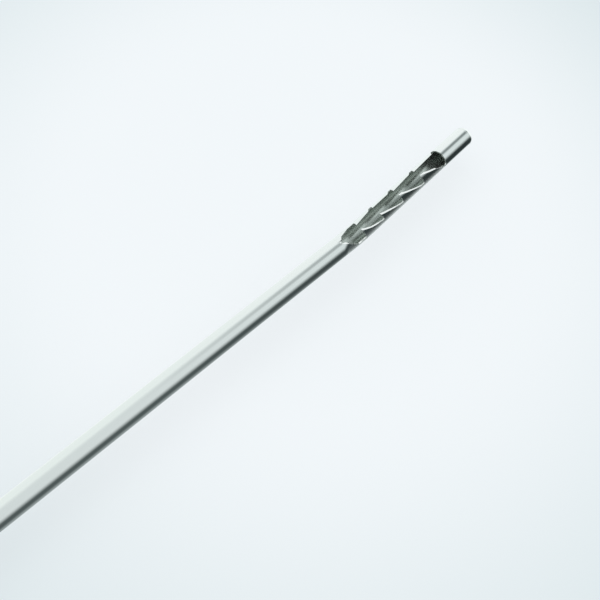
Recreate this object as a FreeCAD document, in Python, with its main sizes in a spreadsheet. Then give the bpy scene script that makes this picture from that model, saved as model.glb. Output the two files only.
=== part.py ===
import FreeCAD, Part
import math
import os
import Sketcher

# Suction cannula with a toothed side window, a conical lock hub and a stylet.
# Millimetres. The origin is the centre of the hub's mouth.
# +X runs along the shaft to the closed tip, +Z is the side the window faces.

SIZES = {
    # shaft
    "tube_diameter": 4.0,
    "tube_wall": 0.35,
    "shaft_reach": 230.0,
    "bend_angle": 3.8,
    "bend_length": 5.0,
    "bend_from_tip": 34.0,
    # closed tip
    "closed_tip_length": 9.05,
    "cap_length": 1.1,
    "cap_edge_radius": 1.0,
    "spigot_length": 3.2,
    "spigot_drill_depth": 1.0,
    "braze_gap": 0.02,
    # slot that opens the window between the two rows of teeth
    "slot_right": 0.35,
    "slot_left": 0.75,
    # four notches behind the closed tip, the same places on both sides, then the scoop
    "notch_1_length": 7.05,
    "notch_2_length": 6.35,
    "notch_3_length": 5.6,
    "notch_4_length": 5.2,
    "tooth_undercut": 0.22,
    "notch_floor": 0.45,
    "scoop_floor": 1.7,
    "scoop_knee": 3.8,
    "scoop_length": 5.0,
    "cutter_headroom": 1.0,
    # the -Y row: the lean of its cut faces, and the heights of the cut above the tube's axis
    # in a view along those faces
    "right_tilt": 15.0,
    "right_valley_1": -0.17,
    "right_valley_2": 0.11,
    "right_valley_3": 0.27,
    "right_valley_4": 0.35,
    "right_valley_5": -0.20,
    "right_tooth_1": 1.79,
    "right_tooth_2": 1.73,
    "right_tooth_3": 1.40,
    "right_tooth_4": 1.57,
    "right_knee_distance": 3.0,
    "right_knee_height": 0.89,
    "right_scoop_height": 1.37,
    # the same for the +Y row, whose faces lean much further
    "left_tilt": 70.0,
    "left_valley_1": -1.45,
    "left_valley_2": -1.14,
    "left_valley_3": -1.17,
    "left_valley_4": -1.33,
    "left_valley_5": -0.95,
    "left_tooth_1": -0.29,
    "left_tooth_2": -0.16,
    "left_tooth_3": -0.55,
    "left_tooth_4": -0.05,
    "left_knee_distance": 1.2,
    "left_knee_height": -0.63,
    "left_scoop_height": -0.37,
    # reinforcing sleeve
    "sleeve_diameter": 5.0,
    "sleeve_start": 17.0,
    "sleeve_end": 72.0,
    "sleeve_taper": 2.5,
    "sleeve_nose_diameter": 4.4,
    # hub
    "socket_mouth_diameter": 4.3,
    "socket_end_diameter": 3.82,
    "socket_depth": 8.0,
    "tube_seat": 10.0,
    "rim_diameter": 6.7,
    "lug_span": 7.8,
    "lug_width": 2.8,
    "lug_length": 1.2,
    "grip_start": 8.5,
    "grip_end": 26.0,
    "grip_diameter": 9.5,
    "grip_edge": 0.5,
    "ring_groove_width": 0.8,
    "ring_groove_depth": 0.4,
    "ring_groove_place": 9.6,
    "ring_groove_spacing": 15.0,
    "nose_end": 33.0,
    "nose_diameter": 6.2,
    "flat_height": 4.0,
    # finger plate
    "plate_place": 17.25,
    "plate_length": 17.0,
    "plate_width": 13.0,
    "plate_thickness": 1.4,
    "plate_recess": 0.35,
    "plate_rim": 1.4,
    # stylet
    "rod_diameter": 1.6,
    "rod_end": 189.5,
    "rod_start": 7.5,
    "rod_tip_radius": 0.6,
    "cone_reach": 6.8,
    "cone_end_diameter": 3.832,
    "cone_base_diameter": 4.3,
    "cone_base": 1.0,
    "flange_diameter": 6.4,
    "flange_back": 2.2,
    "journal_diameter": 5.0,
    "journal_back": 4.0,
    "stud_diameter": 3.4,
    "stud_back": 9.0,
    # lock collar
    "collar_front": 5.5,
    "lug_clearance": 0.6,
    "collar_wall": 1.0,
    "collar_play": 0.1,
    "collar_running_gap": 0.06,
    "collar_edge": 0.5,
    "collar_flute_radius": 1.2,
    "collar_flute_depth": 0.45,
    # knob
    "knob_neck_diameter": 6.8,
    "knob_neck_back": 6.5,
    "knob_shoulder_back": 8.5,
    "knob_diameter": 12.5,
    "knob_back": 15.5,
    "knob_edge": 0.8,
    "knob_hole_back": 9.5,
    "knob_flute_radius": 1.6,
    "knob_flute_depth": 0.5,
}

# The two rows of teeth: side, how far the cut passes over the crown, the view's tilt round X
# and the way it cuts from that view.
WINDOW_ROWS = (
    ("right", "cutter_headroom", "- right_tilt", True),
    ("left", "0", "left_tilt", False),
)
NOTCHES = 4
GROOVE_COUNT = 2
COLLAR_FLUTES = 8
KNOB_FLUTES = 8


def make_sheet(doc):
    """Writes every driving dimension into a spreadsheet cell with an alias."""
    sheet = doc.addObject("Spreadsheet::Sheet", "sizes")
    for row, (name, value) in enumerate(SIZES.items(), start=1):
        sheet.set("A%d" % row, name)
        sheet.set("B%d" % row, str(value))
        sheet.setAlias("B%d" % row, name)
    doc.recompute()
    return sheet


def bound(text):
    """Turns an expression in plain size names into one that reads the spreadsheet."""
    words = text.replace("(", "( ").replace(")", " )").split()
    return " ".join("sizes." + word if word in SIZES else word for word in words)


def origin_part(body, role):
    """Finds the origin plane or axis of a body by its role."""
    return next(item for item in body.Origin.OriginFeatures if item.Role == role)


def new_sketch(body, name, plane, offset=None, tilt=None):
    """Attaches an empty sketch to one of the body's own origin planes, set off or tilted round X.

    The offset is an expression along the plane's normal. The tilt is an expression in degrees.
    """
    sketch = body.newObject("Sketcher::SketchObject", name)
    sketch.AttachmentSupport = [(origin_part(body, plane), "")]
    sketch.MapMode = "FlatFace"
    if offset:
        sketch.setExpression("AttachmentOffset.Base.z", bound(offset))
    if tilt:
        turn = FreeCAD.Rotation(FreeCAD.Vector(1, 0, 0), 1.0)
        sketch.AttachmentOffset = FreeCAD.Placement(FreeCAD.Vector(), turn)
        sketch.setExpression("AttachmentOffset.Rotation.Angle", bound(tilt))
    return sketch


def place_point(sketch, geometry, end, across, up):
    """Ties one point of a sketch to the sheet by its two coordinates."""
    for kind, text in (("DistanceX", across), ("DistanceY", up)):
        number = sketch.addConstraint(Sketcher.Constraint(kind, -1, 1, geometry, end, 1.0))
        sketch.setExpression("Constraints[%d]" % number, bound(text))


def draw_outline(body, name, plane, corners, offset=None, tilt=None):
    """Draws a closed outline whose corners are pairs of expressions in the sheet's names."""
    sketch = new_sketch(body, name, plane, offset, tilt)
    count = len(corners)
    ring = [2 * math.pi * number / count for number in range(count)]
    rough = [FreeCAD.Vector(math.cos(turn), math.sin(turn), 0) for turn in ring]
    for number in range(count):
        sketch.addGeometry(Part.LineSegment(rough[number], rough[(number + 1) % count]), False)
    for number in range(count):
        sketch.addConstraint(Sketcher.Constraint("Coincident", number, 2, (number + 1) % count, 1))
    for number, (across, up) in enumerate(corners):
        place_point(sketch, number, 1, across, up)
    return sketch


def draw_circle(body, name, plane, radius, across=None, offset=None):
    """Draws one circle of a bound radius, on the origin or moved sideways by a bound distance."""
    sketch = new_sketch(body, name, plane, offset)
    add_circle(sketch, radius, across)
    return sketch


def add_circle(sketch, radius, across=None):
    """Adds a circle of a bound radius to a sketch."""
    circle = Part.Circle(FreeCAD.Vector(0, 0, 0), FreeCAD.Vector(0, 0, 1), 1.0)
    number = sketch.addGeometry(circle, False)
    rule = sketch.addConstraint(Sketcher.Constraint("Radius", number, 1.0))
    sketch.setExpression("Constraints[%d]" % rule, bound(radius))
    if across:
        place_point(sketch, number, 3, across, "0")
    else:
        sketch.addConstraint(Sketcher.Constraint("Coincident", number, 3, -1, 1))


def revolve(body, kind, name, sketch):
    """Turns a sketch on the XZ plane once round the body's X axis."""
    feature = body.newObject(kind, name)
    feature.Profile = sketch
    feature.ReferenceAxis = (origin_part(body, "X_Axis"), [""])
    feature.Angle = 360.0
    return feature


def turned_body(doc, label, corners):
    """Makes a body as a turned piece round X from an outline of (place, radius) corners."""
    body = doc.addObject("PartDesign::Body", label)
    revolve(body, "PartDesign::Revolution", label + "_turning",
            draw_outline(body, label + "_outline", "XZ_Plane", corners))
    doc.recompute()
    return body


def round_edges(body, name, radius, wanted):
    """Rounds every edge of the body's tip for which wanted(edge) is true."""
    base = body.Tip
    names = ["Edge%d" % number for number, edge in enumerate(base.Shape.Edges, start=1) if wanted(edge)]
    if not names:
        raise RuntimeError("no edge to round for " + name)
    feature = body.newObject("PartDesign::Fillet", name)
    feature.Base = (base, names)
    feature.setExpression("Radius", bound(radius))
    body.Document.recompute()
    return feature


def ring_at(place, radius):
    """Gives a test for a full circle round X at one place and radius."""
    def test(edge):
        curve = edge.Curve
        if not isinstance(curve, Part.Circle):
            return False
        return abs(curve.Center.x - place) < 1e-3 and abs(curve.Radius - radius) < 1e-3
    return test


def cut_flutes(body, name, radius, across, start, length, count):
    """Cuts round flutes along X into a turned piece and repeats them round it."""
    sketch = draw_circle(body, name + "_round", "YZ_Plane", radius, across, offset=start)
    pocket = body.newObject("PartDesign::Pocket", name)
    pocket.Profile = sketch
    pocket.setExpression("Length", bound(length))
    pocket.Reversed = True
    pattern = body.newObject("PartDesign::PolarPattern", name + "_pattern")
    pattern.Originals = [pocket]
    pattern.Axis = (origin_part(body, "X_Axis"), [""])
    pattern.Angle = 360.0
    pattern.Occurrences = count
    body.Tip = pattern
    body.Document.recompute()


def cut(body, name, sketch, length, onward):
    """Cuts a sketch out of the body, along the sketch's normal or against it, and checks that it cut."""
    body.Document.recompute()
    before = body.Shape.Volume
    pocket = body.newObject("PartDesign::Pocket", name)
    pocket.Profile = sketch
    pocket.setExpression("Length", bound(length))
    pocket.Reversed = onward
    body.Document.recompute()
    if body.Shape.Volume >= before:
        raise RuntimeError(name + " cut nothing")
    return pocket


def box_corners(width, height):
    """Lists the corners of a rectangle round the origin."""
    across = width + " / 2"
    up = height + " / 2"
    return [("- " + across, "- " + up), (across, "- " + up), (across, up), ("- " + across, up)]


def draw_oval(body, name, margin, height):
    """Draws the finger plate's long round-ended form as two circles and the strip between them.

    The margin makes it smaller all round, and the height sets it off along Z.
    """
    radius = "( plate_width / 2 - %s )" % margin
    reach = "( plate_length - plate_width ) / 2"
    front = "plate_place + " + reach
    back = "plate_place - " + reach
    corners = [(back, "- " + radius), (front, "- " + radius), (front, radius), (back, radius)]
    return [
        draw_circle(body, name + "_front", "XY_Plane", radius, front, height),
        draw_circle(body, name + "_back", "XY_Plane", radius, back, height),
        draw_outline(body, name + "_middle", "XY_Plane", corners, height),
    ]


def window_corners(side, headroom):
    """Lists the cut that leaves one row of teeth, from the tip backwards, in a view along its faces."""
    face = "cap_length - closed_tip_length"
    crown = "tube_diameter / 2 * cos( %s_tilt * 1 deg )" % side
    slope = "( scoop_length - scoop_knee ) / ( %s - %s_scoop_height )" % (crown, side)
    top = crown + " + " + headroom
    corners = [(face, top), (face, side + "_valley_1")]
    for number in range(1, NOTCHES + 1):
        corners.append((face + " - notch_floor", "%s_valley_%d" % (side, number)))
        corners.append((face + " - %s_knee_distance" % side, side + "_knee_height"))
        face += " - notch_%d_length" % number
        corners.append((face, "%s_tooth_%d" % (side, number)))
        corners.append((face + " + tooth_undercut", "%s_valley_%d" % (side, number + 1)))
    corners.append((face + " - scoop_floor", "%s_valley_%d" % (side, NOTCHES + 1)))
    corners.append((face + " - scoop_knee", side + "_scoop_height"))
    corners.append((face + " - scoop_length - %s * %s" % (headroom, slope), top))
    return corners


def shaft_path(body, sheet):
    """Draws the centre line of the tube: straight past the window, a slight bend, straight to the hub."""
    straight = sheet.bend_from_tip - sheet.bend_length / 2 - sheet.cap_length
    angle = math.radians(sheet.bend_angle)
    radius = sheet.bend_length / angle
    rear = sheet.shaft_reach - sheet.tube_seat - sheet.bend_from_tip - sheet.bend_length / 2
    start = FreeCAD.Vector(-straight, 0, 0)
    centre = FreeCAD.Vector(-straight, radius, 0)
    bend_end = centre + FreeCAD.Vector(-math.sin(angle), -math.cos(angle), 0) * radius
    end = bend_end + FreeCAD.Vector(-math.cos(angle), math.sin(angle), 0) * rear
    circle = Part.Circle(centre, FreeCAD.Vector(0, 0, 1), radius)
    sketch = new_sketch(body, "shaft_path", "XY_Plane")
    sketch.addGeometry(Part.LineSegment(FreeCAD.Vector(0, 0, 0), start), False)
    sketch.addGeometry(Part.ArcOfCircle(circle, 1.5 * math.pi - angle, 1.5 * math.pi), False)
    sketch.addGeometry(Part.LineSegment(bend_end, end), False)
    sketch.addConstraint(Sketcher.Constraint("Coincident", 0, 1, -1, 1))
    sketch.addConstraint(Sketcher.Constraint("Horizontal", 0))
    sketch.addConstraint(Sketcher.Constraint("Tangent", 0, 2, 1, 2))
    sketch.addConstraint(Sketcher.Constraint("Tangent", 1, 1, 2, 1))
    rules = (
        ("Distance", 0, straight, "bend_from_tip - bend_length / 2 - cap_length"),
        ("Radius", 1, radius, "bend_length * 180 / ( pi * bend_angle )"),
        ("Distance", 2, rear, "shaft_reach - tube_seat - bend_from_tip - bend_length / 2"),
    )
    for kind, geometry, length, text in rules:
        number = sketch.addConstraint(Sketcher.Constraint(kind, geometry, length))
        sketch.setExpression("Constraints[%d]" % number, bound(text))
    slant = sketch.addConstraint(Sketcher.Constraint("Angle", 2, -angle + math.pi))
    sketch.setExpression("Constraints[%d]" % slant, bound("( 180 - bend_angle ) * 1 deg"))
    return sketch, end


def cut_slot(body):
    """Opens the top wall between the two rows of teeth, from the closed tip to the scoop."""
    front = "cap_length - closed_tip_length"
    notches = " - ".join("notch_%d_length" % number for number in range(1, NOTCHES + 1))
    back = front + " - " + notches + " - scoop_knee"
    slot = draw_outline(body, "slot_outline", "XY_Plane", [
        (back, "- slot_right"),
        (front, "- slot_right"),
        (front, "slot_left"),
        (back, "slot_left"),
    ])
    cut(body, "slot", slot, "tube_diameter", onward=True)


def shaft_placement(sheet, end):
    """Lays the straight rear part of the shaft along +X, with its rear end on the hub's tube seat."""
    turn = FreeCAD.Rotation(FreeCAD.Vector(0, 0, 1), sheet.bend_angle)
    return FreeCAD.Placement(FreeCAD.Vector(sheet.tube_seat, 0, 0) - turn.multVec(end), turn)


def make_shaft_tube(doc, sheet):
    """Sweeps the tube and cuts the toothed window. Local X is the axis of the straight part at the tip."""
    body = doc.addObject("PartDesign::Body", "shaft_tube")
    path, end = shaft_path(body, sheet)
    ring = draw_circle(body, "tube_section", "YZ_Plane", "tube_diameter / 2")
    add_circle(ring, "tube_diameter / 2 - tube_wall")
    doc.recompute()
    tube = body.newObject("PartDesign::AdditivePipe", "tube")
    tube.Profile = ring
    tube.Spine = (path, ["Edge1", "Edge2", "Edge3"])
    doc.recompute()
    cut_slot(body)
    for side, headroom, tilt, onward in WINDOW_ROWS:
        row = draw_outline(body, side + "_teeth_view", "XZ_Plane", window_corners(side, headroom), tilt=tilt)
        cut(body, side + "_teeth", row, "tube_diameter", onward)
    body.Placement = shaft_placement(sheet, end)
    return body


def make_tip_plug(doc, sheet, placement):
    """Turns the blunt cap with the spigot that is brazed into the end of the tube."""
    spigot = "tube_diameter / 2 - tube_wall - braze_gap"
    body = turned_body(doc, "tip_plug", [
        ("spigot_drill_depth - spigot_length", "0"),
        ("- spigot_length", spigot),
        ("0", spigot),
        ("0", "tube_diameter / 2"),
        ("cap_length", "tube_diameter / 2"),
        ("cap_length", "0"),
    ])
    corner = ring_at(sheet.cap_length, sheet.tube_diameter / 2)
    round_edges(body, "cap_rounding", "cap_edge_radius", corner)
    body.Placement = placement
    return body


def make_reinforcing_sleeve(doc):
    """Turns the sleeve that stiffens the shaft where it leaves the hub."""
    bore = "tube_diameter / 2 + braze_gap"
    return turned_body(doc, "reinforcing_sleeve", [
        ("sleeve_start", bore),
        ("sleeve_start", "sleeve_diameter / 2"),
        ("sleeve_end - sleeve_taper", "sleeve_diameter / 2"),
        ("sleeve_end", "sleeve_nose_diameter / 2"),
        ("sleeve_end", bore),
    ])


def make_hub_body(doc):
    """Turns the hub, adds its two locking lugs and opens the conical socket and the lumen."""
    body = turned_body(doc, "hub_body", [
        ("0", "0"),
        ("0", "rim_diameter / 2"),
        ("grip_start", "rim_diameter / 2"),
        ("grip_start", "grip_diameter / 2 - grip_edge"),
        ("grip_start + grip_edge", "grip_diameter / 2"),
        ("grip_end", "grip_diameter / 2"),
        ("nose_end", "nose_diameter / 2"),
        ("nose_end", "0"),
    ])
    lugs = body.newObject("PartDesign::Pad", "lugs")
    lugs.Profile = draw_outline(body, "lug_outline", "YZ_Plane", box_corners("lug_span", "lug_width"))
    lugs.setExpression("Length", bound("lug_length"))
    doc.recompute()
    ring = draw_outline(body, "ring_groove_outline", "XZ_Plane", [
        ("ring_groove_place", "grip_diameter / 2 - ring_groove_depth"),
        ("ring_groove_place + ring_groove_width", "grip_diameter / 2 - ring_groove_depth"),
        ("ring_groove_place + ring_groove_width", "grip_diameter"),
        ("ring_groove_place", "grip_diameter"),
    ])
    groove = revolve(body, "PartDesign::Groove", "ring_groove", ring)
    doc.recompute()
    rings = body.newObject("PartDesign::LinearPattern", "ring_grooves")
    rings.Originals = [groove]
    rings.Direction = (origin_part(body, "X_Axis"), [""])
    rings.Occurrences = GROOVE_COUNT
    rings.setExpression("Length", bound("ring_groove_spacing"))
    body.Tip = rings
    doc.recompute()
    full = body.Shape.Volume
    lumen = "tube_diameter / 2 - tube_wall"
    tube_socket = "tube_diameter / 2 + braze_gap"
    sleeve_socket = "sleeve_diameter / 2 + braze_gap"
    bore = draw_outline(body, "bore_outline", "XZ_Plane", [
        ("- lug_length", "0"),
        ("- lug_length", "socket_mouth_diameter / 2"),
        ("0", "socket_mouth_diameter / 2"),
        ("socket_depth", "socket_end_diameter / 2"),
        ("socket_depth", lumen),
        ("tube_seat", lumen),
        ("tube_seat", tube_socket),
        ("sleeve_start", tube_socket),
        ("sleeve_start", sleeve_socket),
        ("nose_end + sleeve_taper", sleeve_socket),
        ("nose_end + sleeve_taper", "0"),
    ])
    revolve(body, "PartDesign::Groove", "bore", bore)
    doc.recompute()
    if body.Shape.Volume >= full:
        raise RuntimeError("the bore cut nothing")
    flat = draw_outline(body, "flat_outline", "XY_Plane", [
        ("grip_start - grip_edge", "- grip_diameter / 2"),
        ("nose_end + grip_edge", "- grip_diameter / 2"),
        ("nose_end + grip_edge", "grip_diameter / 2"),
        ("grip_start - grip_edge", "grip_diameter / 2"),
    ], offset="flat_height")
    cut(body, "plate_flat", flat, "grip_diameter / 2", onward=True)
    return body


def make_finger_plate(doc):
    """Pads the thumb plate that shows the window side, with a shallow recess in its face."""
    body = doc.addObject("PartDesign::Body", "finger_plate")
    for sketch in draw_oval(body, "plate", "0", "flat_height + braze_gap"):
        plate = body.newObject("PartDesign::Pad", sketch.Name + "_pad")
        plate.Profile = sketch
        plate.setExpression("Length", bound("plate_thickness"))
        doc.recompute()
    face = "flat_height + braze_gap + plate_thickness - plate_recess"
    for sketch in draw_oval(body, "recess", "plate_rim", face):
        cut(body, sketch.Name + "_cut", sketch, "plate_thickness", onward=True)
    return body


def make_stylet_rod(doc, sheet):
    """Turns the straight rod that keeps the lumen clear as far as the window."""
    body = turned_body(doc, "stylet_rod", [
        ("- rod_start", "0"),
        ("- rod_start", "rod_diameter / 2"),
        ("rod_end", "rod_diameter / 2"),
        ("rod_end", "0"),
    ])
    tip = ring_at(sheet.rod_end, sheet.rod_diameter / 2)
    round_edges(body, "rod_tip_rounding", "rod_tip_radius", tip)
    return body


def make_stylet_cone(doc):
    """Turns the cone that seats in the hub, with its flange, the collar's journal and the knob's stud."""
    bore = "rod_diameter / 2 + braze_gap"
    return turned_body(doc, "stylet_cone", [
        ("cone_reach", bore),
        ("cone_reach", "cone_end_diameter / 2"),
        ("- cone_base", "cone_base_diameter / 2"),
        ("- cone_base", "flange_diameter / 2"),
        ("- flange_back", "flange_diameter / 2"),
        ("- flange_back", "journal_diameter / 2"),
        ("- journal_back", "journal_diameter / 2"),
        ("- journal_back", "stud_diameter / 2"),
        ("- stud_back", "stud_diameter / 2"),
        ("- stud_back", bore),
    ])


def make_lock_collar(doc):
    """Turns the captive collar that closes over the hub's lugs, and flutes its outside."""
    journal = "journal_diameter / 2 + collar_running_gap"
    inside = "lug_span / 2 + lug_clearance"
    outside = inside + " + collar_wall"
    lip_front = "- flange_back - collar_play"
    lip_back = "- journal_back + collar_play"
    body = turned_body(doc, "lock_collar", [
        ("collar_front", inside),
        (lip_front, inside),
        (lip_front, journal),
        (lip_back, journal),
        (lip_back, outside),
        ("collar_front - collar_edge", outside),
        ("collar_front", outside + " - collar_edge"),
    ])
    cut_flutes(body, "collar_flute", "collar_flute_radius",
               outside + " + collar_flute_radius - collar_flute_depth",
               "- journal_back - collar_edge", "collar_front + journal_back + 2 * collar_edge",
               COLLAR_FLUTES)
    return body


def make_stylet_knob(doc):
    """Turns the knob that draws the stylet, and flutes its head."""
    hole = "stud_diameter / 2 + braze_gap"
    body = turned_body(doc, "stylet_knob", [
        ("- journal_back", hole),
        ("- journal_back", "knob_neck_diameter / 2"),
        ("- knob_neck_back", "knob_neck_diameter / 2"),
        ("- knob_shoulder_back", "knob_diameter / 2"),
        ("- knob_back + knob_edge", "knob_diameter / 2"),
        ("- knob_back", "knob_diameter / 2 - knob_edge"),
        ("- knob_back", "0"),
        ("- knob_hole_back", "0"),
        ("- knob_hole_back", hole),
    ])
    cut_flutes(body, "knob_flute", "knob_flute_radius",
               "knob_diameter / 2 + knob_flute_radius - knob_flute_depth",
               "- knob_back - knob_edge", "knob_back - knob_neck_back + knob_edge",
               KNOB_FLUTES)
    return body


def check(doc):
    """Stops the build if a feature failed or a sub-part is not a sound solid."""
    for item in doc.Objects:
        if "Invalid" in item.State or "Error" in item.State:
            raise RuntimeError(item.Name + " failed")
        if item.isDerivedFrom("PartDesign::Feature") or item.isDerivedFrom("PartDesign::Body"):
            if item.Shape.isNull() or not item.Shape.isValid():
                raise RuntimeError(item.Name + " has no sound shape")


def export(bodies):
    """Writes each sub-part under its label."""
    os.makedirs("parts", exist_ok=True)
    for body in bodies:
        if len(body.Shape.Solids) != 1:
            raise RuntimeError(body.Label + " is not one solid")
        body.Shape.exportStep("parts/" + body.Label + ".step")


def main():
    """Builds the document, checks it and writes one file for each sub-part."""
    doc = FreeCAD.newDocument("suction_cannula")
    sheet = make_sheet(doc)
    tube = make_shaft_tube(doc, sheet)
    bodies = [
        tube,
        make_tip_plug(doc, sheet, tube.Placement),
        make_reinforcing_sleeve(doc),
        make_hub_body(doc),
        make_finger_plate(doc),
        make_stylet_rod(doc, sheet),
        make_stylet_cone(doc),
        make_lock_collar(doc),
        make_stylet_knob(doc),
    ]
    doc.recompute()
    check(doc)
    export(bodies)


main()
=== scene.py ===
"""Looks, studio and camera of a steel suction cannula with a toothed window, built around its CAD frame."""

import logging
import math
from dataclasses import dataclass, field
from enum import Enum
from functools import cache

import bmesh
import bpy
import numpy as np
from mathutils import Matrix, Vector


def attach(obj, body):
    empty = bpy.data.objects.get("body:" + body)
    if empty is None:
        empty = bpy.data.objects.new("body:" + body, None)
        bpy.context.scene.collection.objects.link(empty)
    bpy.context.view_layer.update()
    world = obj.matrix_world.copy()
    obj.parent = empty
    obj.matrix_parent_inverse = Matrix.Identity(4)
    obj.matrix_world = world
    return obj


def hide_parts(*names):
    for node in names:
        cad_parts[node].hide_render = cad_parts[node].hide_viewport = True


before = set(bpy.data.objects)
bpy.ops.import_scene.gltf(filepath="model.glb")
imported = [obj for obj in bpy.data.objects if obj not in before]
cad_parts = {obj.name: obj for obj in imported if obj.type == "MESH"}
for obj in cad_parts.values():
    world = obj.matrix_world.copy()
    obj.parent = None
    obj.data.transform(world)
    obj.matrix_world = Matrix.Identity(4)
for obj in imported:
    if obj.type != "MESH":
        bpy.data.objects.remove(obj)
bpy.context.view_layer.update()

MM = 0.001
# Corners nearer than this are one corner.
MERGE_DISTANCE = 0.0005 * MM
# Two faces that meet at a larger angle than this have an edge to break.
SHARP_ANGLE = math.radians(32)
# The most that a rounding takes of the shorter side beside it, so that two on one side stay apart.
LARGEST_ROUNDING = 0.45
# What nearly all of the sum of two noises lies between.
NOISE_SPAN = (0.6, 1.4)
log = logging.getLogger("cannula")


def linear(text: str) -> tuple[float, float, float, float]:
    """Turns an sRGB colour into linear light.

    Args:
        text: The colour as six hex digits.

    Returns:
        Red, green, blue and an opaque alpha.
    """
    parts = np.array([int(text[i : i + 2], 16) for i in (0, 2, 4)]) / 255
    light = np.where(parts <= 0.04045, parts / 12.92, ((parts + 0.055) / 1.055) ** 2.4)
    return (*(float(value) for value in light), 1.0)


def add_node(tree: bpy.types.NodeTree, kind: str, inputs: dict | None = None, **settings) -> bpy.types.Node:
    """Adds a shader node, sets its options and fills its inputs.

    Args:
        tree: The node tree that takes the node.
        kind: The node's type name.
        inputs: Input name or number to a constant, or to the output socket that feeds it.
        settings: Options of the node by name.

    Returns:
        The new node.
    """
    node = tree.nodes.new(kind)
    for option, value in settings.items():
        setattr(node, option, value)
    for key, value in (inputs or {}).items():
        if isinstance(value, bpy.types.NodeSocket):
            tree.links.new(value, node.inputs[key])
        else:
            node.inputs[key].default_value = value
    return node


class Lay(Enum):
    """The way the fine tool marks of a finish run."""

    ALONG = "along the shaft"
    AROUND = "round the axis, as a lathe leaves them"
    NONE = "in all directions"


@dataclass(frozen=True)
class Metal:
    """Bare metal with fine tool marks.

    Attributes:
        name: The material's name, which says the real finish.
        colour: The metal's own sRGB colour.
        roughness: The mean roughness of the surface.
        spread: How far the roughness wanders to either side.
        lay: The way the tool marks run.
        pitch: The spacing of the tool marks in millimetres.
        depth: The depth of the tool marks in millimetres.
        shine: The share of the light that the clean metal mirrors; a dull film scatters the rest.
        cloud: The size of the slow changes in roughness in millimetres.
        run: How many times longer than wide a drawn mark is.
    """

    name: str
    colour: str
    roughness: float
    spread: float
    lay: Lay
    pitch: float
    depth: float
    shine: float = 1.0
    cloud: float = 7.0
    run: float = 60.0

    def mark_place(self, tree: bpy.types.NodeTree, place: bpy.types.NodeSocket) -> bpy.types.NodeSocket:
        """Stretches the place so that noise runs with the tool marks, one unit for each mark.

        Args:
            tree: The material's node tree.
            place: The place on the piece in metres.

        Returns:
            The stretched place. For turned marks it is x and the distance from the axis.
        """
        fine = 1 / (self.pitch * MM)
        scale = (fine, fine, fine)
        if self.lay is Lay.ALONG:
            scale = (fine / self.run, fine, fine)
        if self.lay is Lay.AROUND:
            parts = add_node(tree, "ShaderNodeSeparateXYZ", {0: place}).outputs
            across = add_node(tree, "ShaderNodeCombineXYZ", {"Y": parts["Y"], "Z": parts["Z"]}).outputs[0]
            radius = add_node(tree, "ShaderNodeVectorMath", {0: across}, operation="LENGTH").outputs["Value"]
            place = add_node(tree, "ShaderNodeCombineXYZ", {"X": parts["X"], "Y": radius}).outputs[0]
        stretched = add_node(tree, "ShaderNodeVectorMath", {0: place, 1: scale}, operation="MULTIPLY")
        return stretched.outputs["Vector"]

    @cache
    def build(self) -> bpy.types.Material:
        """Makes the material once: its roughness and its fine relief follow the tool marks.

        Returns:
            The finished material.
        """
        material = bpy.data.materials.new(self.name)
        material.use_nodes = True
        tree = material.node_tree
        shader = tree.nodes["Principled BSDF"]
        place = add_node(tree, "ShaderNodeTexCoord").outputs["Object"]
        marks = add_node(
            tree, "ShaderNodeTexNoise", {"Vector": self.mark_place(tree, place), "Scale": 1.0, "Detail": 3.0}
        ).outputs["Fac"]
        cloud = add_node(
            tree, "ShaderNodeTexNoise", {"Vector": place, "Scale": 1 / (self.cloud * MM), "Detail": 4.0}
        ).outputs["Fac"]
        mixed = add_node(tree, "ShaderNodeMath", {0: marks, 1: cloud}, operation="ADD").outputs[0]
        rough = add_node(
            tree,
            "ShaderNodeMapRange",
            {
                "Value": mixed,
                "From Min": NOISE_SPAN[0],
                "From Max": NOISE_SPAN[1],
                "To Min": self.roughness - self.spread,
                "To Max": self.roughness + self.spread,
            },
        ).outputs["Result"]
        relief = add_node(
            tree, "ShaderNodeBump", {"Height": marks, "Strength": 1.0, "Distance": self.depth * MM}
        ).outputs["Normal"]
        shader.inputs["Base Color"].default_value = linear(self.colour)
        shader.inputs["Metallic"].default_value = self.shine
        tree.links.new(rough, shader.inputs["Roughness"])
        tree.links.new(relief, shader.inputs["Normal"])
        return material


# Drawn tube, polished: long clean bands of light, very slightly drawn out along the shaft.
DRAWN = Metal("steel_drawn_and_polished", "DEE1E0", 0.16, 0.03, Lay.ALONG, 0.05, 0.00015)
# The bore as drawn, never polished: duller and a little darker. Its marks are drawn coarser than the
# real ones, which are too fine to show.
BORE = Metal("steel_drawn_bore", "C0C6C1", 0.27, 0.02, Lay.ALONG, 0.4, 0.00015, shine=0.92)
# Ground cuts, deburred: bright, with no lay that the eye can follow.
GROUND = Metal("steel_ground_teeth", "E2E4E3", 0.2, 0.04, Lay.NONE, 0.12, 0.0004)
# Turned and polished: the sharpest mirror of the set, on the plug, the sleeve, the cone and the socket.
TURNED = Metal("steel_turned_and_polished", "DCDFDE", 0.1, 0.02, Lay.AROUND, 0.05, 0.0001)
# Satin turned: a soft sheen that runs round the axis and is easy to hold. Its marks are drawn coarser
# than the real ones.
SATIN = Metal("steel_satin_turned", "CDD0CF", 0.27, 0.05, Lay.AROUND, 0.08, 0.0005)
# Bead-blasted: matt and even, so the thumb rest stands out from its satin rim.
BLASTED = Metal("steel_bead_blasted", "C2C5C4", 0.42, 0.05, Lay.NONE, 0.1, 0.004)
# Silver braze as it sets: slightly yellow beside the steel, and uneven.
BRAZE = Metal("silver_braze", "E3E0D2", 0.24, 0.05, Lay.NONE, 0.3, 0.002)


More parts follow.
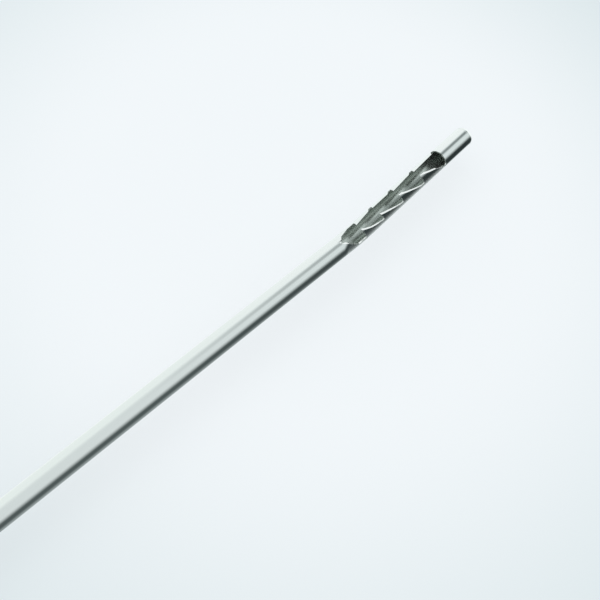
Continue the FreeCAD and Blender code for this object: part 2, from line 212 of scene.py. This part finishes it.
@dataclass
class ShaftLine:
    """The centre line of the tube: straight, one slight bend, straight to the tip. Sizes in millimetres."""

    corner: float = 196.0
    angle: float = 3.8
    bend: float = 5.0

    def axis(self, points: np.ndarray) -> tuple[np.ndarray, np.ndarray]:
        """Finds the nearest centre point and direction; the arc's slope grows evenly from 0 to the bend's.

        Args:
            points: Places in millimetres, one per row.

        Returns:
            The centre points and the unit directions of the line there, one per row.
        """
        turn = math.radians(self.angle)
        reach = self.bend / 2
        along = np.clip((points[:, 0] - self.corner + reach) / self.bend, 0, 1)
        slope = turn * along
        radius = self.bend / turn
        beyond = np.maximum(points[:, 0] - self.corner - reach, 0)
        side = radius * (1 - np.cos(slope)) + beyond * math.tan(turn)
        centre = np.column_stack([points[:, 0], side, np.zeros(len(points))])
        direction = np.column_stack([np.cos(slope), np.sin(slope), np.zeros(len(points))])
        return centre, direction

    def radial(self, points: np.ndarray) -> tuple[np.ndarray, np.ndarray]:
        """Splits each place into its distance from the centre line and the unit vector away from the line.

        Args:
            points: Places in millimetres, one per row.

        Returns:
            The distances, and the unit vectors one per row.
        """
        centre, direction = self.axis(points)
        away = points - centre
        away -= direction * np.sum(away * direction, axis=1)[:, None]
        distance = np.linalg.norm(away, axis=1)
        return distance, away / np.maximum(distance, 1e-9)[:, None]


def set_mesh(piece: bpy.types.Object, mesh: bpy.types.Mesh) -> None:
    """Gives a piece a new mesh under the old one's name, and drops the old one.

    Args:
        piece: The piece to change.
        mesh: Its new mesh.
    """
    old = piece.data
    name = old.name
    piece.data = mesh
    bpy.data.meshes.remove(old)
    mesh.name = name


def finish_shape(piece: bpy.types.Object, edge: float) -> None:
    """Breaks the sharp edges of a piece, as deburring does, and lets its large faces rule the shading.

    Args:
        piece: The piece to change.
        edge: The width of the broken edges in millimetres, or 0 for a piece that is rounded already.
    """
    piece.data.shade_smooth()
    if edge:
        broken = piece.modifiers.new("broken_edges", "BEVEL")
        broken.limit_method = "ANGLE"
        broken.angle_limit = SHARP_ANGLE
        broken.width = edge * MM
        broken.segments = 2
        broken.use_clamp_overlap = False
    piece.modifiers.new("large_faces", "WEIGHTED_NORMAL")
    shown = piece.evaluated_get(bpy.context.evaluated_depsgraph_get())
    mesh = bpy.data.meshes.new_from_object(shown)
    piece.modifiers.clear()
    set_mesh(piece, mesh)


def join_loose(mesh: bpy.types.Mesh) -> None:
    """Joins vertices that lie on one another and turns every face outward.

    Args:
        mesh: The mesh to change.
    """
    work = bmesh.new()
    work.from_mesh(mesh)
    bmesh.ops.remove_doubles(work, verts=work.verts, dist=MERGE_DISTANCE)
    bmesh.ops.dissolve_degenerate(work, edges=work.edges, dist=MERGE_DISTANCE)
    bmesh.ops.recalc_face_normals(work, faces=work.faces)
    work.to_mesh(mesh)
    work.free()


def grid_faces(rows: int, columns: int, closed: bool) -> np.ndarray:
    """Numbers the four corners of each face of a grid whose columns go once round.

    Args:
        rows: Points along the profile.
        columns: Points round the axis.
        closed: True where the last row joins the first.

    Returns:
        Four vertex numbers for each face.
    """
    row = np.arange(rows if closed else rows - 1)[:, None]
    column = np.arange(columns)[None, :]
    next_row = (row + 1) % rows
    next_column = (column + 1) % columns
    corners = (
        row * columns + column,
        row * columns + next_column,
        next_row * columns + next_column,
        next_row * columns + column,
    )
    return np.stack(corners, axis=-1).reshape(-1, 4)


def new_piece(name: str, points: np.ndarray, faces: np.ndarray) -> bpy.types.Object:
    """Makes a piece from arrays.

    Args:
        name: The piece's name.
        points: Places in millimetres, one per row.
        faces: Vertex numbers, one face per row.

    Returns:
        The new piece, in the scene.
    """
    mesh = bpy.data.meshes.new(name)
    mesh.from_pydata((points * MM).tolist(), [], faces.tolist())
    join_loose(mesh)
    piece = bpy.data.objects.new(name, mesh)
    bpy.context.scene.collection.objects.link(piece)
    return piece


def corner_data(mesh: bpy.types.Mesh) -> tuple[np.ndarray, np.ndarray, np.ndarray]:
    """Reads a mesh's face corners as arrays.

    Args:
        mesh: The mesh to read.

    Returns:
        The places of the face corners in millimetres, their faces' normals and their faces' numbers.
    """
    places = np.zeros(len(mesh.vertices) * 3)
    mesh.vertices.foreach_get("co", places)
    corners = np.zeros(len(mesh.loops), int)
    mesh.loops.foreach_get("vertex_index", corners)
    totals = np.zeros(len(mesh.polygons), int)
    mesh.polygons.foreach_get("loop_total", totals)
    normals = np.zeros(len(mesh.polygons) * 3)
    mesh.polygons.foreach_get("normal", normals)
    faces = np.repeat(np.arange(len(totals)), totals)
    return places.reshape(-1, 3)[corners] / MM, normals.reshape(-1, 3)[faces], faces


@dataclass
class Piece:
    """One shown piece that stands for a CAD node.

    Attributes:
        node: The CAD node that it replaces.
        finish: Its main finish.
        slot: The record's material slot. It is not used.
        edge: The width of its broken edges in millimetres.
    """

    node: str
    finish: Metal
    slot: str = "polished_steel"
    edge: float = 0.08

    def shape(self) -> bpy.types.Object:
        """Copies the CAD node's mesh with its loose triangles joined.

        Returns:
            The new piece, in the scene.
        """
        name = f"{self.node}_shown"
        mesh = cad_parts[self.node].data.copy()
        mesh.name = name
        mesh.materials.clear()
        if mesh.has_custom_normals:
            mesh.attributes.remove(mesh.attributes["custom_normal"])
        join_loose(mesh)
        piece = bpy.data.objects.new(name, mesh)
        bpy.context.scene.collection.objects.link(piece)
        return piece

    def dress(self, piece: bpy.types.Object) -> None:
        """Gives the whole piece its one finish."""
        piece.data.materials.append(self.finish.build())

    def place(self, piece: bpy.types.Object, body: str) -> None:
        """Puts the piece on its body in the CAD node's stead.

        Args:
            piece: The shown piece.
            body: The body that it rides on.
        """
        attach(piece, body)
        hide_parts(self.node)

    def build(self, body: str) -> bpy.types.Object:
        """Shapes, dresses and places the piece.

        Args:
            body: The body that it rides on.

        Returns:
            The shown piece.
        """
        piece = self.shape()
        finish_shape(piece, self.edge)
        self.dress(piece)
        self.place(piece, body)
        return piece


@dataclass
class ToothedTube(Piece):
    """The drawn tube with the toothed window: polished wall, drawn bore and ground cuts.

    Attributes:
        line: The tube's centre line.
        outer: The outer radius in millimetres.
        inner: The bore's radius in millimetres.
        slack: How far a corner may lie from the wall and still count as on it.
        facing: The least cosine between a round face's normal and the way out from the centre line.
        window: Where the window starts and ends along X.
        lean: How far the shading normals of the near teeth's outside turn, as an outward lean would turn
            them, by the angle round the shaft from straight up toward -Y, both in degrees. The mesh keeps its
            shape.
        lean_run: The length over which the lean grows at the window's ends.
    """

    line: ShaftLine = field(default_factory=ShaftLine)
    outer: float = 2.0
    inner: float = 1.65
    slack: float = 0.02
    facing: float = 0.9
    window: tuple[float, float] = (191.7, 220.9)
    lean: tuple[tuple[float, float], ...] = (
        (0, 0),
        (12, 18),
        (40, 18),
        (60, 26),
        (75, 21),
        (90, 7),
        (106, 0),
    )
    lean_run: float = 1.2

    def shape(self) -> bpy.types.Object:
        """Copies the CAD node and cuts new edges across the tube where the lean starts, grows and ends.

        Returns:
            The new piece, in the scene.
        """
        piece = super().shape()
        start, end = self.window
        work = bmesh.new()
        work.from_mesh(piece.data)
        for place in (start, start + self.lean_run, end - self.lean_run, end):
            parts = work.verts[:] + work.edges[:] + work.faces[:]
            bmesh.ops.bisect_plane(work, geom=parts, plane_co=(place * MM, 0, 0), plane_no=(1, 0, 0))
        work.to_mesh(piece.data)
        work.free()
        return piece

    def leaned(self, places: np.ndarray, away: np.ndarray) -> np.ndarray:
        """Turns the normals of the near teeth's outside down round the shaft, as their outward lean does.

        Args:
            places: Places of the face corners in millimetres.
            away: Unit vectors away from the centre line.

        Returns:
            The turned normals, one per row.
        """
        start, end = self.window
        along = places[:, 0]
        share = np.interp(along, (start, start + self.lean_run, end - self.lean_run, end), (0, 1, 1, 0))
        across = np.degrees(np.arctan2(-away[:, 1], away[:, 2]))
        turn = np.radians(share * np.interp(across, *zip(*self.lean)))[:, None]
        direction = self.line.axis(places)[1]
        return away * np.cos(turn) + np.cross(direction, away) * np.sin(turn)

    def dress(self, piece: bpy.types.Object) -> None:
        """Sorts the faces into wall, bore and cuts, and gives the round ones a cylinder's true normals.

        Args:
            piece: The piece to dress.
        """
        mesh = piece.data
        for finish in (self.finish, BORE, GROUND):
            mesh.materials.append(finish.build())
        places, normals, faces = corner_data(mesh)
        distance, away = self.line.radial(places)
        outward = np.sum(away * normals, axis=1)
        on_wall = (np.abs(distance - self.outer) < self.slack) & (outward > self.facing)
        on_bore = (np.abs(distance - self.inner) < self.slack) & (outward < -self.facing)
        wall_face = np.bincount(faces, ~on_wall) == 0
        bore_face = np.bincount(faces, ~on_bore) == 0
        kind = np.where(wall_face, 0, np.where(bore_face, 1, 2))
        mesh.polygons.foreach_set("material_index", kind.astype(np.int32))
        shading = np.where(wall_face[faces][:, None], self.leaned(places, away), normals)
        shading = np.where(bore_face[faces][:, None], -away, shading)
        mesh.normals_split_custom_set(shading.tolist())


@dataclass
class Hub(Piece):
    """The satin hub, with a polished conical socket.

    Attributes:
        socket_radius: The socket's widest radius in millimetres.
        socket_end: Where the socket ends along X.
    """

    socket_radius: float = 2.2
    socket_end: float = 8.1

    def dress(self, piece: bpy.types.Object) -> None:
        """Gives the socket the polished finish and the rest the satin one.

        Args:
            piece: The piece to dress.
        """
        mesh = piece.data
        for finish in (self.finish, TURNED):
            mesh.materials.append(finish.build())
        places, _, faces = corner_data(mesh)
        radius = np.hypot(places[:, 1], places[:, 2])
        outside = (radius > self.socket_radius) | (places[:, 0] > self.socket_end)
        in_socket = np.bincount(faces, outside) == 0
        mesh.polygons.foreach_set("material_index", in_socket.astype(np.int32))


@dataclass
class Turned(Piece):
    """A piece turned on a lathe, rebuilt as a fine grid, with grip flutes where it has any.

    Attributes:
        profile: Corners of the outline as x, radius and the size of the rounding, in millimetres.
        closed: True where the outline is a closed loop clear of the axis.
        flutes: The number of flutes round the outside.
        flute_radius: The cutter's radius in millimetres.
        flute_reach: The distance from the axis to the cutter's centre in millimetres.
        around: Points round the axis.
        steps: Points for each rounding.
        softness: How softly a flute runs out into the round, in millimetres.
    """

    profile: tuple[tuple[float, float, float], ...] = ()
    closed: bool = True
    flutes: int = 0
    flute_radius: float = 1.0
    flute_reach: float = 1.0
    around: int = 192
    steps: int = 6
    softness: float = 0.03
    edge: float = 0.0

    def rounded_profile(self) -> np.ndarray:
        """Rounds each corner: a parabola leaves one side and joins the other at the rounding's size.

        No rounding takes more than LARGEST_ROUNDING of the shorter side.

        Returns:
            The points of the rounded outline as x and radius, one per row.
        """
        corners = np.array(self.profile)
        points = corners[:, :2]
        size = corners[:, 2]
        before = np.roll(points, 1, axis=0) - points
        after = np.roll(points, -1, axis=0) - points
        reach = np.linalg.norm(before, axis=1), np.linalg.norm(after, axis=1)
        size = np.minimum(size, LARGEST_ROUNDING * np.minimum(*reach))
        start = points + before * (size / reach[0])[:, None]
        end = points + after * (size / reach[1])[:, None]
        share = np.linspace(0, 1, self.steps)[None, :, None]
        away = (1 - share) ** 2 * start[:, None]
        middle = 2 * share * (1 - share) * points[:, None]
        return (away + middle + share**2 * end[:, None]).reshape(-1, 2)

    def flute_limit(self, angle: np.ndarray) -> np.ndarray:
        """Gives the radius at which each angle meets the nearest flute's circle, or a large one beside it.

        Args:
            angle: Angles round the axis in radians.

        Returns:
            The radii in millimetres.
        """
        spacing = 2 * math.pi / self.flutes
        nearest = (angle + spacing / 2) % spacing - spacing / 2
        across = self.flute_reach * np.sin(nearest)
        inside = np.maximum(self.flute_radius**2 - across**2, 0)
        limit = self.flute_reach * np.cos(nearest) - np.sqrt(inside)
        return np.where(inside > 0, limit, 2 * self.flute_reach)

    def shape(self) -> bpy.types.Object:
        """Spins the rounded outline round the X axis; a flute takes over softly where it lies deeper.

        Returns:
            The new piece, in the scene.
        """
        profile = self.rounded_profile()
        angle = np.linspace(0, 2 * math.pi, self.around, endpoint=False)
        radius = np.repeat(profile[:, 1:], self.around, axis=1)
        if self.flutes:
            limit = np.broadcast_to(self.flute_limit(angle), radius.shape)
            radius = -self.softness * np.logaddexp(-radius / self.softness, -limit / self.softness)
            radius = np.maximum(radius, 0)
        along = np.repeat(profile[:, :1], self.around, axis=1)
        points = np.stack((along, radius * np.cos(angle), radius * np.sin(angle)), axis=-1).reshape(-1, 3)
        return new_piece(f"{self.node}_shown", points, grid_faces(*radius.shape, self.closed))


@dataclass
class FingerPlate(Turned):
    """The long round-ended finger plate: satin rim, bead-blasted recess. Its outline is height and radius.

    Attributes:
        centre: The plate's middle along X.
        half: Half the distance between its two round ends' centres in millimetres.
        recess_level: The height of the recess's floor in millimetres.
        slack: How far a corner may lie from that height.
    """

    centre: float = 17.25
    half: float = 2.0
    recess_level: float = 5.07
    slack: float = 0.05

    def shape(self) -> bpy.types.Object:
        """Leads the rounded outline round both ends; each half of the turn has its own centre.

        Returns:
            The new piece, in the scene.
        """
        profile = self.rounded_profile()
        quarter = math.pi / 2
        front = np.linspace(-quarter, quarter, self.around // 2)
        angle = np.concatenate((front, front + math.pi))
        middle = self.centre + self.half * np.repeat((1, -1), len(front))
        radius = profile[:, 1:]
        along = middle + radius * np.cos(angle)
        across = radius * np.sin(angle)
        height = np.broadcast_to(profile[:, :1], along.shape)
        points = np.stack((along, across, height), axis=-1).reshape(-1, 3)
        return new_piece(f"{self.node}_shown", points, grid_faces(*along.shape, self.closed))

    def dress(self, piece: bpy.types.Object) -> None:
        """Gives the recess's floor the blasted finish and the rest the satin one.

        Args:
            piece: The piece to dress.
        """
        mesh = piece.data
        for finish in (self.finish, BLASTED):
            mesh.materials.append(finish.build())
        places, _, faces = corner_data(mesh)
        off_floor = np.abs(places[:, 2] - self.recess_level) > self.slack
        on_floor = np.bincount(faces, off_floor) == 0
        mesh.polygons.foreach_set("material_index", on_floor.astype(np.int32))


@dataclass
class BrazeRing(Turned):
    """The small hollow fillet of braze where one round part enters another. It stands for no CAD node.

    Attributes:
        face: The end face from which the fillet rises, along X.
        outer: Its radius on that face in millimetres.
        inner: The radius of the part that passes through.
        run: How far it runs out along the part.
        sunk: How deep its hidden inside lies under the part's surface.
    """

    face: float = 0.0
    outer: float = 1.0
    inner: float = 1.0
    run: float = 0.3
    sunk: float = 0.01

    def __post_init__(self) -> None:
        """Draws the outline: a hollow corner between the face and the part."""
        inside = self.inner - self.sunk
        hollow = (self.face + self.run / 4, self.inner + (self.outer - self.inner) / 4, self.run / 2)
        self.profile = (
            (self.face, inside, 0.0),
            (self.face, self.outer, 0.0),
            hollow,
            (self.face + self.run, self.inner, 0.0),
            (self.face + self.run, inside, 0.0),
        )

    def place(self, piece: bpy.types.Object, body: str) -> None:
        """Puts the ring on its body."""
        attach(piece, body)


@dataclass
class CollarThread(Piece):
    """The two-start thread inside the collar, which catches the hub's lugs. It stands for no CAD node.

    Attributes:
        start: Where the thread starts along X.
        end: Where it ends.
        lead: How far one ridge moves along X in a full turn.
        root: The bore's radius in millimetres.
        crest: The radius of the ridge's top.
        width: The ridge's width at the root.
        top: The width of its top as a share of the width at the root.
        run_in: The share of its length over which each end rises from the wall.
        starts: The number of ridges.
        around: Points for each full turn.
    """

    start: float = 0.5
    end: float = 4.9
    lead: float = 5.0
    root: float = 4.51
    crest: float = 4.15
    width: float = 1.0
    top: float = 0.4
    run_in: float = 0.125
    starts: int = 2
    around: int = 96
    edge: float = 0.0

    def shape(self) -> bpy.types.Object:
        """Sweeps a trapezium along each helix; it sinks into the wall at both ends.

        Returns:
            The new piece, in the scene.
        """
        turns = (self.end - self.start) / self.lead
        count = int(self.around * turns) + 1
        share = np.linspace(0, 1, count)
        height = (self.root - self.crest) * np.minimum(1, np.minimum(share, 1 - share) / self.run_in)
        offset = np.array((-1, -self.top, self.top, 1)) * self.width / 2
        lifted = np.array((0, 1, 1, 0))
        ridges = []
        for number in range(self.starts):
            angle = 2 * math.pi * (share * turns + number / self.starts)
            along = self.start + share[:, None] * turns * self.lead + offset
            radius = self.root - height[:, None] * lifted
            around = np.cos(angle)[:, None], np.sin(angle)[:, None]
            ridges.append(np.stack((along, radius * around[0], radius * around[1]), axis=-1).reshape(-1, 3))
        faces = grid_faces(count, len(offset), closed=False)
        size = count * len(offset)
        all_faces = np.concatenate([faces + number * size for number in range(self.starts)])
        return new_piece(f"{self.node}_shown", np.concatenate(ridges), all_faces)

    def place(self, piece: bpy.types.Object, body: str) -> None:
        """Puts the thread on its body."""
        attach(piece, body)


@dataclass
class Assembly:
    """Pieces that move together.

    Attributes:
        body: The body that they ride on.
        pieces: The pieces, in the order in which they are built.
    """

    body: str
    pieces: tuple[Piece, ...]

    def build(self) -> None:
        """Builds every piece and reports it."""
        for maker in self.pieces:
            piece = maker.build(self.body)
            log.info("%s has %d faces", piece.name, len(piece.data.polygons))


@dataclass
class Cannula(Assembly):
    """The tube with its closed tip, its stiffening sleeve, the hub and the finger plate."""

    body: str = "cannula"
    pieces: tuple[Piece, ...] = (
        ToothedTube("shaft_tube", DRAWN, edge=0.04),
        Piece("tip_plug", TURNED, edge=0.0),
        Turned(
            "reinforcing_sleeve",
            TURNED,
            profile=(
                (17.0, 2.02, 0.1),
                (17.0, 2.5, 0.1),
                (69.5, 2.5, 0.8),
                (72.0, 2.2, 0.08),
                (72.0, 2.02, 0.05),
            ),
        ),
        BrazeRing("sleeve_braze", BRAZE, face=72.0, outer=2.15, inner=2.0, run=0.35),
        Hub("hub_body", SATIN, "satin_steel", edge=0.12),
        BrazeRing("hub_braze", BRAZE, face=33.0, outer=2.85, inner=2.5, run=0.4),
        FingerPlate(
            "finger_plate",
            SATIN,
            "satin_steel",
            closed=False,
            profile=(
                (4.02, 0.0, 0.0),
                (4.02, 6.5, 0.15),
                (5.42, 6.5, 0.3),
                (5.42, 5.1, 0.15),
                (5.07, 5.1, 0.2),
                (5.07, 0.0, 0.0),
            ),
        ),
    )


@dataclass
class Stylet(Assembly):
    """The rod that keeps the bore clear, with its cone and its knob."""

    body: str = "stylet"
    pieces: tuple[Piece, ...] = (
        Piece("stylet_rod", DRAWN, edge=0.0),
        Turned(
            "stylet_cone",
            TURNED,
            profile=(
                (6.8, 0.82, 0.05),
                (6.8, 1.916, 0.12),
                (-1.0, 2.15, 0.1),
                (-1.0, 3.2, 0.15),
                (-2.2, 3.2, 0.15),
                (-2.2, 2.5, 0.05),
                (-4.0, 2.5, 0.05),
                (-4.0, 1.7, 0.05),
                (-9.0, 1.7, 0.1),
                (-9.0, 0.82, 0.05),
            ),
        ),
        Turned(
            "stylet_knob",
            SATIN,
            "satin_steel",
            closed=False,
            profile=(
                (-9.5, 0.0, 0.0),
                (-9.5, 1.72, 0.1),
                (-4.0, 1.72, 0.1),
                (-4.0, 3.4, 0.2),
                (-6.5, 3.4, 0.4),
                (-8.5, 6.25, 0.4),
                (-14.7, 6.25, 0.3),
                (-15.5, 5.45, 0.3),
                (-15.5, 4.3, 0.1),
                (-15.35, 4.1, 0.1),
                (-15.35, 0.0, 0.0),
            ),
            flutes=8,
            flute_radius=1.6,
            flute_reach=7.35,
        ),
    )


@dataclass
class Collar(Assembly):
    """The captive collar that turns on the stylet's journal and locks it to the hub."""

    body: str = "collar"
    pieces: tuple[Piece, ...] = (
        Turned(
            "lock_collar",
            SATIN,
            "satin_steel",
            profile=(
                (5.5, 4.5, 0.15),
                (-2.3, 4.5, 0.3),
                (-2.3, 2.56, 0.1),
                (-3.9, 2.56, 0.1),
                (-3.9, 5.5, 0.3),
                (5.0, 5.5, 0.25),
                (5.5, 5.0, 0.25),
            ),
            flutes=8,
            flute_radius=1.2,
            flute_reach=6.25,
        ),
        CollarThread("collar_thread", SATIN),
    )


@dataclass(frozen=True)
class Card:
    """A light panel or dark card that runs along the shaft and has soft edges. Angles are in degrees.

    Attributes:
        name: What it is in the studio.
        centre: The angle of its middle, from straight up round the shaft, positive toward +Y.
        half: Half its width.
        soft: The width of each soft edge.
        colour: Its sRGB colour.
    """

    name: str
    centre: float
    half: float
    soft: float
    colour: str

    def lay(
        self, tree: bpy.types.NodeTree, angle: bpy.types.NodeSocket, under: bpy.types.NodeSocket
    ) -> bpy.types.NodeSocket:
        """Lays the card over what is there, where the angle is near enough to its middle.

        Args:
            tree: The world's node tree.
            angle: The angle round the shaft in radians, from minus to plus half a turn.
            under: The colour under the card.

        Returns:
            The colour with the card on it.
        """
        centre, half, soft = (math.radians(value) for value in (self.centre, self.half, self.soft))
        half_turn = math.pi
        past = add_node(tree, "ShaderNodeMath", {0: angle, 1: centre}, operation="SUBTRACT").outputs[0]
        turn = add_node(
            tree, "ShaderNodeMath", {0: past, 1: half_turn, 2: -half_turn}, operation="WRAP"
        ).outputs[0]
        apart = add_node(tree, "ShaderNodeMath", {0: turn}, operation="ABSOLUTE").outputs[0]
        clear = add_node(
            tree,
            "ShaderNodeMapRange",
            {"Value": apart, "From Min": half, "From Max": half + soft},
            interpolation_type="SMOOTHSTEP",
            label=self.name,
        ).outputs["Result"]
        mixed = add_node(
            tree, "ShaderNodeMix", {"Factor": clear, 6: linear(self.colour), 7: under}, data_type="RGBA"
        )
        return mixed.outputs[2]


@dataclass
class Studio:
    """The floor, the surroundings that the steel mirrors, the lamp and the camera. Places in millimetres.

    The camera stands where points on the outline fall on the photograph's own. The cards are set one by one.

    Attributes:
        camera_place: Where the camera stands.
        camera_aim: The way it looks.
        camera_roll: Its turn anticlockwise round the line of sight, in degrees.
        lens: The focal length in millimetres.
        floor_height: The floor's height, just under the knob.
        floor_size: The side of the floor.
        floor_colour: The floor's sRGB colour under the window, with a painted pool of light.
        edge_colour: The floor's sRGB colour further out, past the painted pool of light.
        glow_centre: The middle of the painted pool of light, the brightest place of the floor, along X and Y.
        glow_inner: How far the painted pool of light keeps its full brightness.
        glow_outer: Where the painted light ends and the floor has its outer colour.
        floor_glow: The share of the floor's brightness that takes no shadow.
        base_ahead: The colour of the surroundings that the window end mirrors.
        base_behind: The colour of those that the rest of the shaft mirrors.
        cards_ahead: The cards laid over the first, in order.
        cards_behind: The cards laid over the second.
        ahead_from: The share along +X of a direction at which the first surroundings start to show.
        ahead_to: The share at which only they show.
        end_light_from: The share along +X at which the light beyond the tip starts.
        end_light_to: The share at which it has its full colour.
        end_light_colour: The colour of the light beyond the tip.
        surround_strength: The brightness of white in the surroundings.
        lamp_strength: The strength of the soft overhead lamp.
        lamp_spread: The angle that the lamp fills in the sky, in degrees.
        lamp_turn: The lamp's turn about X and Y, in degrees.
        sensor: The camera's sensor width in millimetres.
        sight: The nearest and the farthest distance that the camera sees.
    """

    camera_place: tuple[float, float, float] = (137.37, -34.482, 112.156)
    camera_aim: tuple[float, float, float] = (0.33779, 0.2536, -0.90641)
    camera_roll: float = 11.57
    lens: float = 42.0
    floor_height: float = -6.3
    floor_size: float = 4000.0
    floor_colour: str = "EFF3F6"
    edge_colour: str = "D9E3E6"
    glow_centre: tuple[float, float] = (197.8, 14.6)
    glow_inner: float = 42.0
    glow_outer: float = 110.0
    floor_glow: float = 0.8
    surround_strength: float = 1.42
    lamp_strength: float = 1.0
    lamp_spread: float = 70.0
    lamp_turn: tuple[float, float] = (-25.0, -8.0)
    sensor: float = 36.0
    sight: tuple[float, float] = (5.0, 10000.0)
    base_ahead: str = "D0D8D8"
    base_behind: str = "CCD2D2"
    cards_ahead: tuple[Card, ...] = (
        Card("bright side panel", 80, 40, 20, "E8ECEC"),
        Card("gap between the panels", 5, 5, 20, "747C7C"),
        Card("dark card", -115, 25, 45, "283030"),
    )
    cards_behind: tuple[Card, ...] = (
        Card("bright side panel", 100, 50, 40, "E0E6E4"),
        Card("dull low panel", -150, 20, 30, "909898"),
        Card("dark card", -100, 10, 45, "4C5454"),
    )
    ahead_from: float = 0.1
    ahead_to: float = 0.62
    end_light_from: float = 0.8
    end_light_to: float = 0.93
    end_light_colour: str = "F4F8F8"

    def build_floor(self) -> None:
        """Lays a wide pale floor that takes the shadow and lets mirrored rays pass to the surroundings."""
        half = self.floor_size / 2 * MM
        level = self.floor_height * MM
        mesh = bpy.data.meshes.new("floor")
        corners = [(-half, -half, level), (half, -half, level), (half, half, level), (-half, half, level)]
        mesh.from_pydata(corners, [], [(0, 1, 2, 3)])
        floor = bpy.data.objects.new("floor", mesh)
        bpy.context.scene.collection.objects.link(floor)
        material = bpy.data.materials.new("floor_pale_painted_glow")
        material.use_nodes = True
        tree = material.node_tree
        tree.nodes.clear()
        place = add_node(tree, "ShaderNodeTexCoord").outputs["Object"]
        # Painted light: the floor is brightest round the window and dims to its outer colour further out.
        centre = (self.glow_centre[0] * MM, self.glow_centre[1] * MM, level)
        apart = add_node(
            tree, "ShaderNodeVectorMath", {0: place, 1: centre}, operation="DISTANCE"
        ).outputs["Value"]
        painted_light_falloff = add_node(
            tree,
            "ShaderNodeMapRange",
            {"Value": apart, "From Min": self.glow_inner * MM, "From Max": self.glow_outer * MM},
            interpolation_type="SMOOTHSTEP",
        ).outputs["Result"]
        colour = add_node(
            tree,
            "ShaderNodeMix",
            {"Factor": painted_light_falloff, 6: linear(self.floor_colour), 7: linear(self.edge_colour)},
            data_type="RGBA",
        ).outputs[2]
        matt = add_node(tree, "ShaderNodeBsdfDiffuse", {"Color": colour}).outputs[0]
        lit = add_node(tree, "ShaderNodeEmission", {"Color": colour, "Strength": 1.0}).outputs[0]
        clear = add_node(tree, "ShaderNodeBsdfTransparent").outputs[0]
        ray = add_node(tree, "ShaderNodeLightPath").outputs
        share = add_node(
            tree, "ShaderNodeMath", {0: ray["Is Camera Ray"], 1: self.floor_glow}, operation="MULTIPLY"
        ).outputs[0]
        seen = add_node(tree, "ShaderNodeMixShader", {0: share, 1: matt, 2: lit}).outputs[0]
        mixed = add_node(tree, "ShaderNodeMixShader", {0: ray["Is Glossy Ray"], 1: seen, 2: clear}).outputs[0]
        add_node(tree, "ShaderNodeOutputMaterial", {"Surface": mixed})
        mesh.materials.append(material)

    def build_side(
        self, tree: bpy.types.NodeTree, angle: bpy.types.NodeSocket, base: str, cards: tuple[Card, ...]
    ) -> bpy.types.NodeSocket:
        """Lays cards over a plain colour.

        Args:
            tree: The world's node tree.
            angle: The angle round the shaft in radians.
            base: The plain sRGB colour.
            cards: The cards, in order.

        Returns:
            The finished colour.
        """
        colour = add_node(tree, "ShaderNodeRGB").outputs[0]
        colour.default_value = linear(base)
        for card in cards:
            colour = card.lay(tree, angle, colour)
        return colour

    def build_world(self) -> None:
        """Paints the surroundings.

        The cards are placed by the angle round the shaft, the arctangent of y over z. The colour passes from
        one set of cards to the other, and then to the end light, with the direction's x.
        """
        world = bpy.data.worlds.new("studio")
        bpy.context.scene.world = world
        world.use_nodes = True
        tree = world.node_tree
        tree.nodes.clear()
        way = add_node(tree, "ShaderNodeTexCoord").outputs["Generated"]
        parts = add_node(tree, "ShaderNodeSeparateXYZ", {0: way}).outputs
        angle = add_node(
            tree, "ShaderNodeMath", {0: parts["Y"], 1: parts["Z"]}, operation="ARCTAN2"
        ).outputs[0]
        colour = self.build_side(tree, angle, self.base_behind, self.cards_behind)
        ahead = self.build_side(tree, angle, self.base_ahead, self.cards_ahead)
        layers = (
            (self.ahead_from, self.ahead_to, ahead),
            (self.end_light_from, self.end_light_to, linear(self.end_light_colour)),
        )
        for start, end, layer in layers:
            part = add_node(
                tree, "ShaderNodeMapRange", {"Value": parts["X"], "From Min": start, "From Max": end}
            ).outputs["Result"]
            colour = add_node(
                tree, "ShaderNodeMix", {"Factor": part, 6: colour, 7: layer}, data_type="RGBA"
            ).outputs[2]
        seen = add_node(
            tree, "ShaderNodeBackground", {"Color": colour, "Strength": self.surround_strength}
        ).outputs[0]
        plain = add_node(
            tree, "ShaderNodeBackground", {"Color": linear(self.edge_colour), "Strength": 1.0}
        ).outputs[0]
        ray = add_node(tree, "ShaderNodeLightPath").outputs["Is Camera Ray"]
        mixed = add_node(tree, "ShaderNodeMixShader", {0: ray, 1: seen, 2: plain}).outputs[0]
        add_node(tree, "ShaderNodeOutputWorld", {"Surface": mixed})

    def build_lamp(self) -> None:
        """Hangs one very soft lamp high on the +Y side, left out of the mirrored surroundings."""
        data = bpy.data.lights.new("soft_lamp", "SUN")
        data.energy = self.lamp_strength
        data.angle = math.radians(self.lamp_spread)
        lamp = bpy.data.objects.new("soft_lamp", data)
        lamp.rotation_euler = (*(math.radians(turn) for turn in self.lamp_turn), 0)
        lamp.visible_glossy = False
        bpy.context.scene.collection.objects.link(lamp)

    def build_camera(self) -> None:
        """Stands the camera where the photograph was taken from."""
        data = bpy.data.cameras.new("camera")
        data.sensor_width = self.sensor
        data.lens = self.lens
        data.clip_start, data.clip_end = (distance * MM for distance in self.sight)
        camera = bpy.data.objects.new("camera", data)
        bpy.context.scene.collection.objects.link(camera)
        bpy.context.scene.camera = camera
        ahead = Vector(self.camera_aim).normalized()
        level = ahead.cross(Vector((0, 0, 1))).normalized()
        upright = level.cross(ahead)
        roll = math.radians(self.camera_roll)
        right = level * math.cos(roll) + upright * math.sin(roll)
        top = upright * math.cos(roll) - level * math.sin(roll)
        turn = Matrix((right, top, -ahead)).transposed().to_4x4()
        camera.matrix_world = Matrix.Translation(Vector(self.camera_place) * MM) @ turn

    def build(self) -> None:
        """Sets up the whole studio."""
        self.build_floor()
        self.build_world()
        self.build_lamp()
        self.build_camera()
        bpy.context.scene.view_settings.view_transform = "Standard"


def main() -> None:
    """Builds the three assemblies and the studio."""
    logging.basicConfig(level=logging.INFO, format="%(name)s: %(message)s")
    for assembly in (Cannula(), Stylet(), Collar()):
        assembly.build()
    Studio().build()


if __name__ == "__main__":
    main()
